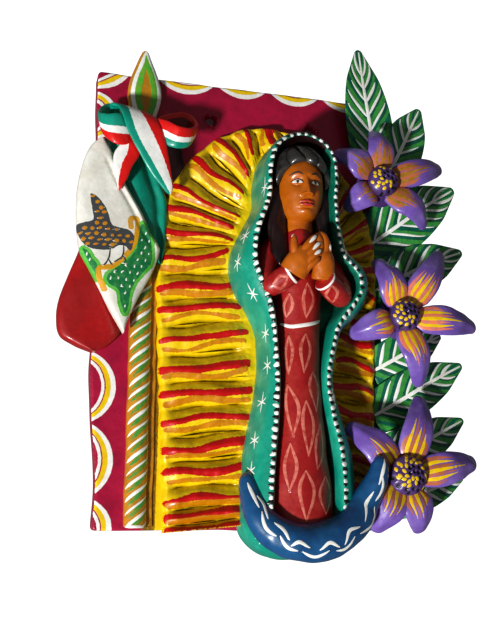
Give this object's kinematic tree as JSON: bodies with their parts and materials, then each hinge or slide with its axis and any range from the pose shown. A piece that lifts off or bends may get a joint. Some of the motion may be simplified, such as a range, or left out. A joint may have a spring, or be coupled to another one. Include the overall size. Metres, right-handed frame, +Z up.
{
  "type": "clay wall plaque",
  "caption": "Painted clay wall plaque: hooded figure in a ray mandorla on a crescent moon, with flag, leaves and flowers on a slab.",
  "frame": {"origin": "middle of the slab's back face", "axes": "+Y out of the back face into the wall, so the relief faces -Y; +Z up; +X to the right of the viewer"},
  "size_m": [0.2563, 0.064, 0.3251],
  "materials": {
    "slab_magenta": "hand-painted, soft gloss",
    "pole_ochre": "hand-painted, soft gloss",
    "spear_green": "hand-painted, soft gloss",
    "moon_blue": "hand-painted, soft gloss",
    "skin": "hand-painted, soft gloss",
    "dress_red": "hand-painted, soft gloss",
    "hair_black": "hand-painted, soft gloss",
    "mantle_green": "hand-painted, soft gloss",
    "button_violet": "hand-painted, soft gloss",
    "petal_violet": "hand-painted, soft gloss",
    "ray_yellow": "hand-painted, soft gloss",
    "leaf_green": "hand-painted, soft gloss",
    "flag_green": "hand-painted, soft gloss",
    "flag_red": "hand-painted, soft gloss",
    "flag_white": "hand-painted, soft gloss",
    "bow_ribbon": "hand-painted, soft gloss"
  },
  "bodies": {
    "root": {"backing_slab": "slab_magenta", "flag_pole": "pole_ochre", "spear_tip": "spear_green", "crescent_moon": "moon_blue", "hand_left": "skin", "hand_right": "skin", "sleeve_left": "dress_red", "sleeve_right": "dress_red", "head": "skin", "hair": "hair_black", "dress": "dress_red", "mantle": "mantle_green", "flower_upper_centre": "button_violet", "flower_middle_centre": "button_violet", "flower_lower_centre": "button_violet", "flower_upper_petal_1": "petal_violet", "flower_upper_petal_2": "petal_violet", "flower_upper_petal_3": "petal_violet", "flower_upper_petal_4": "petal_violet", "flower_upper_petal_5": "petal_violet", "flower_middle_petal_1": "petal_violet", "flower_middle_petal_2": "petal_violet", "flower_middle_petal_3": "petal_violet", "flower_middle_petal_4": "petal_violet", "flower_middle_petal_5": "petal_violet", "flower_lower_petal_1": "petal_violet", "flower_lower_petal_2": "petal_violet", "flower_lower_petal_3": "petal_violet", "flower_lower_petal_4": "petal_violet", "flower_lower_petal_5": "petal_violet", "ray_mandorla": "ray_yellow", "leaf_1": "leaf_green", "leaf_2": "leaf_green", "leaf_3": "leaf_green", "leaf_4": "leaf_green", "leaf_5": "leaf_green", "leaf_6": "leaf_green", "leaf_7": "leaf_green", "leaf_8": "leaf_green", "flag_green_panel": "flag_green", "flag_red_panel": "flag_red", "flag_white_panel": "flag_white", "bow_tail_short": "bow_ribbon", "bow_tail_long": "bow_ribbon", "bow_loop_left": "bow_ribbon", "bow_loop_right": "bow_ribbon"}
  },
  "joints": []
}
